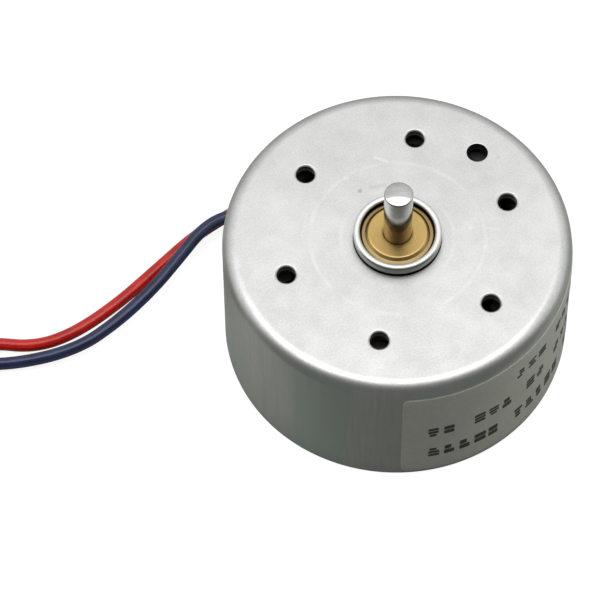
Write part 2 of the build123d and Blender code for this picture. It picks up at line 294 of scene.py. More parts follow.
def lead(name, points, material):
    curve = bpy.data.curves.new(name, "CURVE")
    curve.dimensions = "3D"
    spline = curve.splines.new("NURBS")
    spline.points.add(len(points) - 1)
    for p, (x, y, z) in zip(spline.points, points):
        p.co = (x * MM, y * MM, z * MM, 1)
    spline.order_u = 3
    spline.use_endpoint_u = True
    curve.resolution_u = 14
    curve.bevel_depth = 0.45 * MM
    curve.bevel_resolution = 8
    curve.use_fill_caps = True
    curve.materials.append(material)
    o = bpy.data.objects.new(name, curve)
    scene.collection.objects.link(o)
    return o


blue_cord = lead("blue_cord", BLUE_ROUTE + coil_points(7.05) + BLUE_TAIL, blue_pvc)
red_cord = lead("red_cord", RED_ROUTE + coil_points(5.85) + RED_TAIL, red_pvc)


# ------------------------------------------------------------------ mesh kit
def build(name, verts, faces, material, body, angle=32, merge=0.0002, replaces=(), slot=None):
    """A mesh object from millimetre points, its doubles merged and its normals outward."""
    mesh = bpy.data.meshes.new(name)
    bm = bmesh.new()
    vs = [bm.verts.new((x * MM, y * MM, z * MM)) for x, y, z in verts]
    for f in faces:
        try:
            bm.faces.new([vs[i] for i in f])
        except ValueError:
            pass
    bmesh.ops.remove_doubles(bm, verts=bm.verts, dist=merge * MM)
    loose = [v for v in bm.verts if not v.link_faces]
    bmesh.ops.delete(bm, geom=loose, context="VERTS")
    bmesh.ops.recalc_face_normals(bm, faces=bm.faces)
    bm.to_mesh(mesh)
    bm.free()
    return place(name, mesh, material, body, angle, replaces)


def place(name, mesh, material, body, angle=32, replaces=()):
    for p in mesh.polygons:
        p.use_smooth = True
    mesh.set_sharp_from_angle(angle=rad(angle))
    mesh.materials.clear()
    mesh.materials.append(material)
    o = bpy.data.objects.new(name, mesh)
    scene.collection.objects.link(o)
    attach(o, body)
    if replaces:
        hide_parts(*replaces)
    return o


def arc(cx, cz, radius, a0, a1, count):
    """Points of a profile arc, (r, z), angles in degrees from +r towards +z."""
    return [
        (cx + radius * cos(rad(a0 + (a1 - a0) * i / count)), cz + radius * sin(rad(a0 + (a1 - a0) * i / count)))
        for i in range(count + 1)
    ]


def lathe(profile, segments=192, closed=True):
    """Vertices and faces of a profile of (r, z) turned about the motor's axis.
    A point with r = 0 is one vertex on the axis."""
    verts, rows = [], []
    for r, z in profile:
        if abs(r) < 1e-9:
            rows.append([len(verts)] * segments)
            verts.append((0, 0, z))
        else:
            rows.append(list(range(len(verts), len(verts) + segments)))
            verts += [
                (r * cos(2 * math.pi * i / segments), r * sin(2 * math.pi * i / segments), z)
                for i in range(segments)
            ]
    faces = []
    pairs = list(zip(rows, rows[1:]))
    if closed:
        pairs.append((rows[-1], rows[0]))
    for a, b in pairs:
        for i in range(segments):
            j = (i + 1) % segments
            f = [a[i], a[j], b[j], b[i]]
            f = [v for n, v in enumerate(f) if v not in f[:n]]
            if len(f) > 2:
                faces.append(f)
    return verts, faces


def ring(radius, count, centre=(0, 0), phase=0.0):
    return [
        (centre[0] + radius * cos(2 * math.pi * i / count + phase), centre[1] + radius * sin(2 * math.pi * i / count + phase))
        for i in range(count)
    ]


def sheet_between(outer, inners, fill, z):
    """Triangles of the flat region inside the outer loop and outside the inner loops,
    through the extra fill points. Returns vertices and faces."""
    points, edges, loops = [], [], [outer] + inners
    for loop in loops:
        start = len(points)
        points += loop
        edges += [(start + i, start + (i + 1) % len(loop)) for i in range(len(loop))]
    points += fill
    got = geometry.delaunay_2d_cdt([Vector(p) for p in points], edges, [], 0, 1e-7)
    co, tris = got[0], got[2]

    def inside(p, loop):
        hit = False
        for (x0, y0), (x1, y1) in zip(loop, loop[1:] + loop[:1]):
            if (y0 > p[1]) != (y1 > p[1]) and p[0] < (x1 - x0) * (p[1] - y0) / (y1 - y0) + x0:
                hit = not hit
        return hit

    faces = []
    for t in tris:
        c = sum((co[i] for i in t), Vector((0, 0))) / 3
        if inside(c, outer) and not any(inside(c, loop) for loop in inners):
            faces.append(list(t))
    return [(v[0], v[1], z) for v in co], faces


def fill_points(r_in, r_out, pitch, keep_off):
    """Polar rows of points between two radii, away from the circles in keep_off."""
    out = []
    r = r_in + pitch
    while r < r_out - 0.5 * pitch:
        n = max(8, round(2 * math.pi * r / pitch))
        for i in range(n):
            a = 2 * math.pi * (i + 0.37) / n
            p = (r * cos(a), r * sin(a))
            if all(math.dist(p, (cx, cy)) > cr + 0.3 * pitch for cx, cy, cr in keep_off):
                out.append(p)
        r += pitch
    return out


def join(*parts):
    verts, faces = [], []
    for v, f in parts:
        n = len(verts)
        verts += v
        faces += [[i + n for i in q] for q in f]
    return verts, faces


def at(part, fn):
    verts, faces = part
    return [fn(*v) for v in verts], faces


TERMINAL = 114.0


def local(x, y, z):
    """From the terminal block's own axes (x across, y outward) to the shared frame."""
    a = rad(TERMINAL - 90)
    return (x * cos(a) - y * sin(a), x * sin(a) + y * cos(a), z)


def soft_box(x, y, z, bevel=0.08, cuts=2, edit=None):
    """A box between limits x, y and z with rounded edges, as vertices and faces."""
    bm = bmesh.new()
    corners = [bm.verts.new((a, b, c)) for a in x for b in y for c in z]
    for f in ((0, 1, 3, 2), (4, 6, 7, 5), (0, 4, 5, 1), (2, 3, 7, 6), (0, 2, 6, 4), (1, 5, 7, 3)):
        bm.faces.new([corners[i] for i in f])
    if edit:
        edit(bm)
    bmesh.ops.bevel(bm, geom=list(bm.edges), offset=bevel, segments=cuts, profile=0.5, affect="EDGES", clamp_overlap=True)
    bm.verts.index_update()
    out = [tuple(v.co) for v in bm.verts], [[v.index for v in f.verts] for f in bm.faces]
    bm.free()
    return out


def prism(outline, z0, z1, bevel=0.05, cuts=2, holes=()):
    """An outline raised from z0 to z1 with rounded edges."""
    bm = bmesh.new()
    verts, faces = sheet_between(list(outline), [list(h) for h in holes], [], z0)
    vs = [bm.verts.new(v) for v in verts]
    for f in faces:
        bm.faces.new([vs[i] for i in f])
    for v in [v for v in bm.verts if not v.link_faces]:
        bm.verts.remove(v)
    bmesh.ops.dissolve_limit(bm, angle_limit=0.01, verts=bm.verts, edges=bm.edges)
    got = bmesh.ops.extrude_face_region(bm, geom=list(bm.faces))
    bmesh.ops.translate(bm, vec=(0, 0, z1 - z0), verts=[g for g in got["geom"] if isinstance(g, bmesh.types.BMVert)])
    bmesh.ops.recalc_face_normals(bm, faces=bm.faces)
    if bevel:
        sharp = [e for e in bm.edges if len(e.link_faces) == 2 and e.calc_face_angle(0) > rad(50) and abs(e.verts[0].co.z - e.verts[1].co.z) < 1e-6]
        bmesh.ops.bevel(bm, geom=sharp, offset=bevel, segments=cuts, profile=0.5, affect="EDGES", clamp_overlap=True)
    bm.verts.index_update()
    out = [tuple(v.co) for v in bm.verts], [[v.index for v in f.verts] for f in bm.faces]
    bm.free()
    return out


# ------------------------------------------------------------------ can
SCREWS = [(8.25 * cos(rad(60 * i)), 8.25 * sin(rad(60 * i))) for i in range(6)]
JIG = (9.0 * cos(rad(30)), 9.0 * sin(rad(30)))
HALF_OUT, HALF_IN = math.degrees(math.asin(3.3 / 12.2)), math.degrees(math.asin(3.3 / 11.4))
COLUMNS = []
for i in range(240):
    COLUMNS.append(-180 + i * 1.5)
COLUMNS = sorted([a for a in COLUMNS if abs(abs(a) - HALF_OUT) > 0.8] + [-HALF_OUT, HALF_OUT])


def warp(a):
    """Column angle, from the terminals, on the can's inner wall."""
    s, b = math.copysign(1, a), abs(a)
    if b <= HALF_OUT + 1e-6:
        return a * HALF_IN / HALF_OUT
    if b < 30:
        return s * (HALF_IN + (b - HALF_OUT) * (30 - HALF_IN) / (30 - HALF_OUT))
    return a


def can_mesh():
    verts, rows, faces = [], [], []

    def row(r, z, inner=False):
        rows.append(list(range(len(verts), len(verts) + len(COLUMNS))))
        for a in COLUMNS:
            t = rad((warp(a) if inner else a) + TERMINAL)
            verts.append((r * cos(t), r * sin(t), z))
        return len(rows) - 1

    def band(a, b, skip=None):
        n = len(COLUMNS)
        for i in range(n):
            if skip and skip(i):
                continue
            j = (i + 1) % n
            faces.append([rows[a][i], rows[a][j], rows[b][j], rows[b][i]])

    first, last = COLUMNS.index(-HALF_OUT), COLUMNS.index(HALF_OUT)

    def in_notch(i):
        return first <= i < last

    rim = [(12.05, -12.0), (12.11, -11.985), (12.16, -11.945), (12.19, -11.90), (12.2, -11.84)]
    outer = [row(*p) for p in rim]
    top_of_notch = row(12.2, -9.25)
    outer.append(top_of_notch)
    for a, b in zip(outer, outer[1:]):
        band(a, b, in_notch)
    last_row = top_of_notch
    for z in (-7.2, -5.1, -3.0, -1.6, -1.2):
        n = row(12.2, z)
        band(last_row, n)
        last_row = n
    for p in arc(11.15, -1.05, 1.05, 0, 90, 22):
        n = row(*p)
        band(last_row, n)
        last_row = n
    for r in (11.08, 10.95):
        n = row(r, 0.0)
        band(last_row, n)
        last_row = n
    face_outer = [verts[i][:2] for i in rows[last_row]]
    # collar, from the face's inner ring up and down into its bore
    collar = [(3.45, 0.0), (3.16, 0.0), (3.075, -0.001), (3.03, 0.0), (2.985, 0.012), (2.955, 0.045), (2.95, 0.10), (2.97, 0.16), (3.02, 0.215), (3.06, 0.25), (3.074, 0.29), (3.075, 0.33), (3.075, 0.55), (3.075, 0.745)]
    collar += arc(2.875, 0.75, 0.2, 0, 90, 12)
    collar += [(2.80, 0.949), (2.735, 0.940), (2.685, 0.92), (2.645, 0.885), (2.615, 0.83), (2.60, 0.76), (2.595, 0.6), (2.59, 0.42), (2.5, 0.40), (2.5, -0.8), (2.9, -0.8), (3.45, -0.8)]
    last_row = row(*collar[0])
    face_inner = [verts[i][:2] for i in rows[last_row]]
    for p in collar[1:]:
        n = row(*p)
        band(last_row, n)
        last_row = n
    # underside of the face, inner corner, inner wall, rim
    under_inner = [verts[i][:2] for i in rows[last_row]]
    last_row = row(10.95, -0.8)
    under_outer = [verts[i][:2] for i in rows[last_row]]
    for p in arc(11.1, -1.1, 0.3, 90, 0, 6):
        n = row(*p)
        band(last_row, n)
        last_row = n
    inner_notch = row(11.4, -9.25, True)
    band(last_row, inner_notch)
    inner_rim = row(11.4, -11.96, True)
    band(inner_notch, inner_rim, in_notch)
    inner_foot = row(11.44, -12.0, True)
    band(inner_rim, inner_foot, in_notch)
    band(inner_foot, outer[0], in_notch)
    for i in range(first, last):
        faces.append([rows[top_of_notch][i], rows[top_of_notch][i + 1], rows[inner_notch][i + 1], rows[inner_notch][i]])
    for i in (first, last):
        faces.append([rows[a][i] for a in outer] + [rows[a][i] for a in (inner_notch, inner_rim, inner_foot)])
    can = (verts, faces)

    # the flat face, above and below, with the mouths of its holes
    mouths, unders = [], []
    parts = [can]
    count = 48
    for x, y in SCREWS:
        mouths.append(ring(0.815, count, (x, y)))
        unders.append(ring(0.74, count, (x, y)))
    mouths.append(ring(0.80, count, JIG))
    unders.append(ring(0.775, count, JIG))
    off = [(x, y, 0.8) for x, y in SCREWS] + [(*JIG, 0.8)]
    fill = fill_points(3.45, 10.95, 0.9, off)
    parts.append(sheet_between(face_outer, [face_inner] + mouths, fill, 0.0))
    parts.append(sheet_between(under_outer, [under_inner] + unders, fill, -0.8))

    # tapped walls: a countersunk mouth, then the thread's helix
    pitch, turns = 0.35, 34
    for x, y in SCREWS:
        wall = []
        for j in range(turns + 1):
            z = -0.085 - (0.8 - 0.085 - 0.04) * j / turns
            edge = min(1.0, 4.0 * min(j, turns - j) / turns)
            for i in range(count):
                a = 2 * math.pi * i / count
                phase = (z / pitch - i / count) % 1.0
                depth = 1 - abs(2 * phase - 1)
                depth = min(1.0, max(0.0, (depth - 0.14) / 0.72))
                r = 0.675 + 0.155 * depth * edge
                wall.append((x + r * cos(a), y + r * sin(a), z))
        rim = [(px, py, 0.0) for px, py in ring(0.815, count, (x, y))]
        mouth = [(px, py, -0.001) for px, py in ring(0.785, count, (x, y))]
        lip = [(px, py, -0.018) for px, py in ring(0.752, count, (x, y))]
        foot = [(px, py, -0.8) for px, py in ring(0.74, count, (x, y))]
        hole_verts = rim + mouth + lip + wall + foot
        hole_faces = []
        for j in range(turns + 4):
            for i in range(count):
                k = (i + 1) % count
                hole_faces.append([j * count + i, j * count + k, (j + 1) * count + k, (j + 1) * count + i])
        parts.append((hole_verts, hole_faces))
    steps = [(0.80, 0.0), (0.775, -0.001), (0.758, -0.008), (0.75, -0.028), (0.75, -0.772), (0.758, -0.792), (0.775, -0.8)]
    hole_verts = [(px, py, z) for r, z in steps for px, py in ring(r, count, JIG)]
    hole_faces = []
    for j in range(len(steps) - 1):
        for i in range(count):
            k = (i + 1) % count
            hole_faces.append([j * count + i, j * count + k, (j + 1) * count + k, (j + 1) * count + i])
    parts.append((hole_verts, hole_faces))
    return join(*parts)


def lug(angle):
    """One tongue of the can's rim, staked inward over the end cap."""
    spine = [(11.50, -12.0), (11.30, -11.985), (11.08, -11.93), (10.93, -11.85), (10.86, -11.76)]
    under = [(11.50, -11.56), (11.30, -11.545), (11.12, -11.53), (10.98, -11.525), (10.90, -11.56)]
    widths = [0.95, 0.95, 0.93, 0.84, 0.66]
    verts, faces = [], []
    across = 12
    for pts in (spine, under):
        for (r, z), w in zip(pts, widths):
            for i in range(across + 1):
                s = -1 + 2 * i / across
                # one small punch dent in the middle of the outer side
                dent = 0.05 * math.exp(-((s - 0.0) / 0.22) ** 2) if pts is spine else 0.0
                verts.append((r, s * w, z + dent))
    n = across + 1
    m = len(spine)

    def q(a, b, c, d):
        faces.append([a, b, c, d])

    for side in (0, 1):
        base = side * m * n
        for j in range(m - 1):
            for i in range(across):
                q(base + j * n + i, base + j * n + i + 1, base + (j + 1) * n + i + 1, base + (j + 1) * n + i)
    for j in range(m - 1):
        for i in (0, across):
            q(j * n + i, (j + 1) * n + i, m * n + (j + 1) * n + i, m * n + j * n + i)
    for j in (0, m - 1):
        for i in range(across):
            q(j * n + i, j * n + i + 1, m * n + j * n + i + 1, m * n + j * n + i)
    a = rad(angle)
    return at((verts, faces), lambda x, y, z: (x * cos(a) - y * sin(a), x * sin(a) + y * cos(a), z))


def can_steel():
    k = Mat("can_steel", 1.0)
    face = k.step(k.z, -0.00075, -0.0001)
    # satin plating: fine speckle, cloudy patches
    speckle = k.noise(7400, 3.0, 0.65)
    cloud = k.noise(620, 3.0, 0.55)
    wide = k.noise(130, 2.0, 0.5)
    fine = k.noise(16000, 2.0, 0.5)
    # drawing marks run up the wall
    inv = k.math("DIVIDE", 1.0, k.math("MAXIMUM", k.r, 0.001))
    wall_vec = k.vec(
        k.math("MULTIPLY", k.math("MULTIPLY", k.x, inv), 0.0122),
        k.math("MULTIPLY", k.math("MULTIPLY", k.y, inv), 0.0122),
        k.math("MULTIPLY", k.z, 0.06),
    )
    streak = k.noise(3800, 3.0, 0.6, wall_vec)
    tone = k.math("ADD", k.math("MULTIPLY", speckle, 0.62), k.math("MULTIPLY", cloud, 0.38))
    tone = k.math("ADD", tone, k.math("MULTIPLY", k.math("SUBTRACT", wide, 0.5), 0.4))
    face_colour = k.mix(k.line(tone, 0.36, 0.64), (0.585, 0.59, 0.575), (0.735, 0.738, 0.722))
    wall_colour = k.mix(k.line(k.math("ADD", k.math("MULTIPLY", streak, 0.6), k.math("MULTIPLY", tone, 0.4)), 0.3, 0.7), (0.50, 0.53, 0.495), (0.62, 0.635, 0.60))
    blotch = k.step(k.noise(330, 4.0, 0.6, wall_vec, 0.5), 0.42, 0.62, 0.0, 0.75)
    wall_colour = k.mix(blotch, wall_colour, (0.47, 0.545, 0.50))
    colour = k.mix(face, wall_colour, face_colour)
    # faint broken tool rings, clouds and a few handling marks on the face
    broken = k.noise(420, 3.0, 0.6)
    rings = k.math("MAXIMUM", k.near(k.r, 0.0061, 0.00024), k.math("MULTIPLY", k.near(k.r, 0.00395, 0.00026), 0.8))
    bright = k.math("MULTIPLY", rings, k.line(broken, 0.42, 0.60, 0.05, 0.62))
    for a, b, w, s in (
        ((0.98, 6.66), (1.60, 6.04), 0.20, 0.85),
        ((-1.66, 5.84), (-1.5, 5.80), 0.22, 0.7),
        ((5.0, -1.06), (5.06, -1.05), 0.20, 0.8),
        ((6.11, -1.48), (6.93, -1.88), 0.14, 0.4),
        ((-6.3, 2.2), (-5.2, 4.1), 0.08, 0.25),
        ((-2.0, -8.6), (0.4, -9.3), 0.08, 0.3),
        ((3.5, -4.9), (4.6, -6.4), 0.08, 0.25),
        ((-8.1, 0.4), (-7.2, -1.9), 0.07, 0.22),
        ((6.38, 9.55), (6.6, 9.3), 0.10, 0.6),
        ((7.08, 8.83), (7.3, 8.6), 0.10, 0.5),
    ):
        m = k.mark(a, b, w)
        bright = k.math("MAXIMUM", bright, k.math("MULTIPLY", m, s))
    bright = k.math("MULTIPLY", bright, face)
    colour = k.mix(k.math("MULTIPLY", bright, 0.5), colour, (0.92, 0.92, 0.91))
    dark = k.math("MAXIMUM", k.mark((-1.07, 4.47), (-1.02, 4.49), 0.22), k.math("MULTIPLY", k.mark((-0.2, 4.47), (0.70, 4.34), 0.2), 0.34))
    dark = k.math("MAXIMUM", dark, k.math("MULTIPLY", k.mark((9.0, 3.6), (9.05, 3.6), 0.16), 0.5))
    dark = k.math("MAXIMUM", dark, k.math("MULTIPLY", k.mark((3.9, 7.4), (4.3, 7.0), 0.25), 0.16))
    dark = k.math("MAXIMUM", dark, k.math("MULTIPLY", k.mark((7.1, 3.3), (8.2, 2.9), 0.3), 0.12))
    dark = k.math("MULTIPLY", dark, face)
    colour = k.mix(k.math("MULTIPLY", dark, 0.5), colour, (0.25, 0.25, 0.24))
    # painted shade darkens the walls of the holes
    painted_hole_shade = k.math("MULTIPLY", k.step(k.z, -0.00012, -0.00005, 1.0, 0.0), k.step(k.r, 0.0102, 0.0105, 1.0, 0.0))
    colour = k.mix(painted_hole_shade, colour, (0.105, 0.105, 0.10))
    # painted shade darkens the drawn collar's wall, up to near its crown on the camera's side, and painted black shadow
    # lines its foot and its bore
    pilot = k.math("MULTIPLY", k.step(k.r, 0.00309, 0.00312, 1.0, 0.0), k.step(k.r, 0.00290, 0.00296))
    aside = k.math("ADD", k.math("MULTIPLY", k.x, -AWAY.x), k.math("MULTIPLY", k.y, -AWAY.y))
    front = k.step(k.math("MULTIPLY", aside, inv), 0.3, 0.75)
    high = k.math("MULTIPLY", front, k.step(k.z, 0.00084, 0.00092, 1.0, 0.0))
    painted_collar_shade = k.math("MULTIPLY", pilot, k.math("MAXIMUM", high, k.step(k.z, 0.00072, 0.00078, 1.0, 0.0)))
    colour = k.mix(k.math("MULTIPLY", painted_collar_shade, k.line(cloud, 0.3, 0.7, 0.86, 0.98)), colour, (0.17, 0.175, 0.165))
    # painted highlight: the collar's crown is painted lighter
    crown = k.math("MULTIPLY", k.step(k.z, 0.00072, 0.00078), k.step(k.r, 0.00270, 0.00276))
    crown = k.math("MULTIPLY", crown, k.math("SUBTRACT", 1.0, painted_collar_shade))
    colour = k.mix(k.math("MULTIPLY", crown, 0.8), colour, (0.87, 0.865, 0.845))
    # painted shadow: near-black at the collar's foot and in its bore
    foot = k.math("MULTIPLY", pilot, k.step(k.z, 0.00022, 0.00032, 1.0, 0.0))
    bore = k.math("MULTIPLY", k.step(k.r, 0.00261, 0.00264, 1.0, 0.0), k.step(k.z, 0.00078, 0.00090, 1.0, 0.0))
    colour = k.mix(k.math("MAXIMUM", k.math("MULTIPLY", foot, k.step(k.r, 0.00312, 0.00309)), bore), colour, (0.012, 0.012, 0.011))
    roughness = k.line(tone, 0.3, 0.7, 0.43, 0.36)
    roughness = k.math("SUBTRACT", roughness, k.math("MULTIPLY", bright, 0.08))
    roughness = k.math("ADD", roughness, k.math("MULTIPLY", k.step(k.z, 0.00072, 0.00078), 0.10))
    grain = k.math("ADD", k.math("MULTIPLY", speckle, 0.5), k.math("MULTIPLY", fine, 0.5))
    height = k.mix(face, streak, grain)
    normal = k.bump(height, 0.000012, 0.5)
    return k.finish(colour, roughness, normal)


steel = can_steel()
can_parts = [can_mesh()] + [lug(TERMINAL + 45 + 90 * i) for i in range(4)]
build("can", *join(*can_parts), steel, "stator", replaces=("motor_can",), slot="can_steel")


# ------------------------------------------------------------------ front bush and shaft
def bronze():
    k = Mat("bronze", 1.0)
    turned = k.noise(9000, 2.0, 0.6, k.vec(k.r, 0.0, 0.0))
    pores = k.noise(14000, 2.0, 0.5)
    patch = k.noise(900, 2.0, 0.5)
    tone = k.math("ADD", k.math("MULTIPLY", turned, 0.5), k.math("MULTIPLY", patch, 0.5))
    colour = k.mix(k.line(tone, 0.3, 0.7), (0.51, 0.355, 0.125), (0.615, 0.43, 0.16))
    colour = k.mix(k.step(pores, 0.64, 0.72, 0.0, 0.6), colour, (0.16, 0.09, 0.035))
    # painted shade darkens the step and the mouth of the bore
    painted_step_shade = k.step(k.r, 0.00206, 0.00222)
    colour = k.mix(k.math("MULTIPLY", painted_step_shade, 0.5), colour, (0.20, 0.155, 0.10))
    colour = k.mix(k.step(k.r, 0.00103, 0.00118, 0.5, 0.0), colour, (0.10, 0.05, 0.02))
    height = k.math("ADD", k.math("MULTIPLY", turned, 0.7), k.math("MULTIPLY", pores, 0.3))
    return k.finish(colour, k.line(patch, 0.3, 0.7, 0.30, 0.38), k.bump(height, 0.000008, 0.5))


bush_profile = [(1.003, 0.60), (1.004, 0.74), (1.010, 0.768), (1.025, 0.779), (1.05, 0.78), (1.3, 0.78), (1.6, 0.78), (1.9, 0.78), (1.985, 0.78), (2.02, 0.776), (2.05, 0.764), (2.08, 0.740)]
bush_profile += [(2.24, 0.60), (2.265, 0.586), (2.30, 0.58), (2.44, 0.58), (2.475, 0.574), (2.497, 0.55), (2.499, 0.48), (2.497, -0.81), (3.40, -0.81), (3.40, -1.28), (3.38, -1.30), (2.4, -1.3), (2.2, -1.6), (1.14, -1.6), (1.02, -1.48)]
build("front_bearing", *lathe(bush_profile, 160), bronze(), "stator", replaces=("front_bush",), slot="bronze")


def shaft_steel():
    k = Mat("shaft_steel", 1.0)
    ground = k.noise(26000, 3.0, 0.65, k.vec(k.math("MULTIPLY", k.x, 0.06), k.math("MULTIPLY", k.y, 0.06), k.z))
    turned = k.noise(16000, 2.0, 0.6, k.vec(k.r, 0.0, 0.0))
    top = k.step(k.z, 0.00574, 0.00580)
    patch = k.noise(1500, 2.0, 0.5)
    colour = k.mix(k.line(patch, 0.3, 0.7), (0.55, 0.55, 0.54), (0.66, 0.66, 0.645))
    # painted shade makes the wall darker than the turned tip, and a painted brown reflection of the bush with painted
    # shade darkens its foot
    colour = k.mix(top, k.mix(0.5, colour, (0.22, 0.215, 0.195)), colour)
    # painted reflection and shade at the foot of the shaft, carried by the mask named film
    film = k.step(k.z, 0.0023, 0.0031, 0.88, 0.0)
    colour = k.mix(film, colour, (0.15, 0.108, 0.072))
    height = k.mix(top, ground, turned)
    return k.finish(colour, k.line(ground, 0.3, 0.7, 0.08, 0.14), k.bump(height, 0.000004, 0.5))


DOME, RIM = 3.0, 5.8
crown = RIM - 0.004 + DOME - math.sqrt(DOME * DOME - 1)
tip = []
for i in range(17):
    r = 0.95 * i / 16
    tip.append((r, crown - (DOME - math.sqrt(DOME * DOME - r * r))))
tip += [(0.970, 5.795), (0.984, 5.774), (0.994, 5.745), (1.0, 5.70)]
shaft_profile = tip + [(1.0, 4.0), (1.0, 2.0), (1.0, 0.66), (1.0, -2.0), (1.0, -6.0), (1.0, -11.2), (0.97, -11.3), (0.9, -11.4), (0.7, -11.47), (0.0, -11.47)]
build("output_shaft", *lathe(shaft_profile, 128, closed=False), shaft_steel(), "rotor", replaces=("shaft",), slot="shaft_steel")


# ------------------------------------------------------------------ label and its print
LABEL_FROM, LABEL_TO = -109.5, 32.0
LABEL_LOW, LABEL_HIGH = -11.55, -1.35


def label_mesh():
    """A thin curved sticker with rounded corners and edges that thin out."""
    outer, inner = 12.27, 12.203
    corner = 0.45
    span = rad(LABEL_TO - LABEL_FROM) * outer
    us = [0.0]
    for i in range(1, 9):
        us.append(corner * (1 - cos(rad(90 * i / 8))))
    n = 96
    us += [corner + (span - 2 * corner) * i / n for i in range(1, n + 1)]
    us += [span - corner * (1 - cos(rad(90 * i / 8))) for i in range(7, -1, -1)]
    rows = [0.0, 0.012, 0.05, 0.2, 0.4, 0.6, 0.8, 0.95, 0.988, 1.0]
    verts, cols = [], []
    for u in us:
        d = min(u, span - u)
        drop = corner - math.sqrt(max(0.0, corner**2 - (corner - d) ** 2)) if d < corner else 0.0
        low, high = LABEL_LOW + drop, LABEL_HIGH - drop
        a = rad(LABEL_FROM) + u / outer
        near_edge = min(1.0, d / 0.06)
        col = []
        for surface in (0, 1):
            ids = []
            for k, f in enumerate(rows):
                ends = 0 if k in (0, len(rows) - 1) else (0.6 if k in (1, len(rows) - 2) else 1.0)
                full = inner + (outer - inner) * (0.45 + 0.55 * min(ends, near_edge))
                r = full if surface else inner
                z = low + (high - low) * f
                ids.append(len(verts))
                verts.append((r * cos(a), r * sin(a), z))
            col.append(ids)
        cols.append(col)
    faces = []
    m = len(rows)
    for c0, c1 in zip(cols, cols[1:]):
        for s in (0, 1):
            for k in range(m - 1):
                faces.append([c0[s][k], c1[s][k], c1[s][k + 1], c0[s][k + 1]])
        for k in (0, m - 1):
            faces.append([c0[0][k], c1[0][k], c1[1][k], c0[1][k]])
    for c in (cols[0], cols[-1]):
        for k in range(m - 1):
            faces.append([c[0][k], c[0][k + 1], c[1][k + 1], c[1][k]])
    return verts, faces


def label_paper():
    k = Mat("label_foil", 0.4)
    fibre = k.noise(2600, 4.0, 0.6)
    cloud = k.noise(420, 2.0, 0.5)
    fine = k.noise(15000, 2.0, 0.5)
    tone = k.math("ADD", k.math("MULTIPLY", fibre, 0.5), k.math("MULTIPLY", cloud, 0.5))
    colour = k.mix(k.line(tone, 0.3, 0.7), (0.60, 0.61, 0.54), (0.71, 0.72, 0.65))
    edge = k.math("MAXIMUM", k.step(k.z, -0.00148, -0.00138), k.step(k.z, -0.01143, -0.01153))
    colour = k.mix(k.math("MULTIPLY", edge, 0.7), colour, (0.74, 0.74, 0.69))
    return k.finish(colour, k.line(cloud, 0.3, 0.7, 0.36, 0.46), k.bump(k.math("ADD", fibre, k.math("MULTIPLY", fine, 0.4)), 0.000012, 0.4))


build("label_sheet", *label_mesh(), label_paper(), "stator", replaces=("rating_label",), slot="label_foil")


def on_label(outline, thick=0.012):
    """A closed flat shape, in (degrees, z), laid on the label as a thin printed solid."""
    r0, r1 = 12.262, 12.27 + thick
    pts = [(rad(a) * 12.27, z) for a, z in outline]
    us = [p[0] for p in pts]
    steps = max(1, int((max(us) - min(us)) / 0.12))
    cuts = [min(us) + (max(us) - min(us)) * i / steps for i in range(1, steps)]
    bm = bmesh.new()
    f = bm.faces.new([bm.verts.new((u, z, 0)) for u, z in pts])
    for c in cuts:
        bmesh.ops.bisect_plane(bm, geom=list(bm.verts) + list(bm.edges) + list(bm.faces), plane_co=(c, 0, 0), plane_no=(1, 0, 0))
    got = bmesh.ops.extrude_face_region(bm, geom=list(bm.faces))
    bmesh.ops.translate(bm, vec=(0, 0, 1), verts=[g for g in got["geom"] if isinstance(g, bmesh.types.BMVert)])
    bm.verts.index_update()
    verts = []
    for v in bm.verts:
        a, r = v.co.x / 12.27, (r0 if v.co.z < 0.5 else r1)
        verts.append((r * cos(a), r * sin(a), v.co.y))
    faces = [[v.index for v in face.verts] for face in bm.faces]
    bm.free()
    return verts, faces


def bar(a, z, width, height, radius=0.16):
    """A rounded bar: its left edge at angle a, its middle at z, sizes in millimetres."""
    to_deg = 180 / math.pi / 12.27
    radius = min(radius, width / 2.01, height / 2.01)
    out = []
    for cx, cz, start in (
        (width - radius, height / 2 - radius, 0),
        (radius, height / 2 - radius, 90),
        (radius, -height / 2 + radius, 180),
        (width - radius, -height / 2 + radius, 270),
    ):
        for i in range(5):
            t = rad(start + 90 * i / 4)
            out.append((a + (cx + radius * cos(t)) * to_deg, z + cz + radius * sin(t)))
    return on_label(out)


